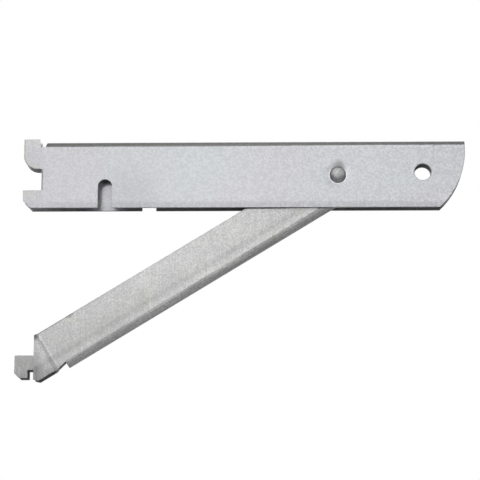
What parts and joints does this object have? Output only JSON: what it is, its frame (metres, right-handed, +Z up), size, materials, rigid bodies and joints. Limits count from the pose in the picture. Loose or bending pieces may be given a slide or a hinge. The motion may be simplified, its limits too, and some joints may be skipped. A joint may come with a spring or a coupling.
{
  "type": "double shelf bracket",
  "caption": "Folded steel channel arm that hooks into a twin-slotted upright and carries a shelf, braced by a channel strut that swings on a rivet and folds into the arm.",
  "frame": {"origin": "middle of the arm's width, on the upright's front face, at the underside of the arm's upper hooks", "axes": "+X forwards along the arm, away from the upright; +Z up, out of the face that carries the shelf; +Y across the arm"},
  "size_m": [0.321, 0.0174, 0.1758],
  "materials": {
    "arm_zinc": "satin zinc plating",
    "strut_zinc": "satin zinc plating with a fine spangle",
    "rivet_zinc": "satin zinc plating"
  },
  "bodies": {
    "arm": {"arm": "arm_zinc", "pivot_rivet": "rivet_zinc"},
    "strut": {"strut": "strut_zinc"}
  },
  "joints": [
    {"name": "strut_pivot", "type": "hinge", "parent": "arm", "child": "strut", "pos_m": [0.2138, 0, -0.0052], "axis": [0, 1, 0], "range_deg": [0, 33]}
  ]
}
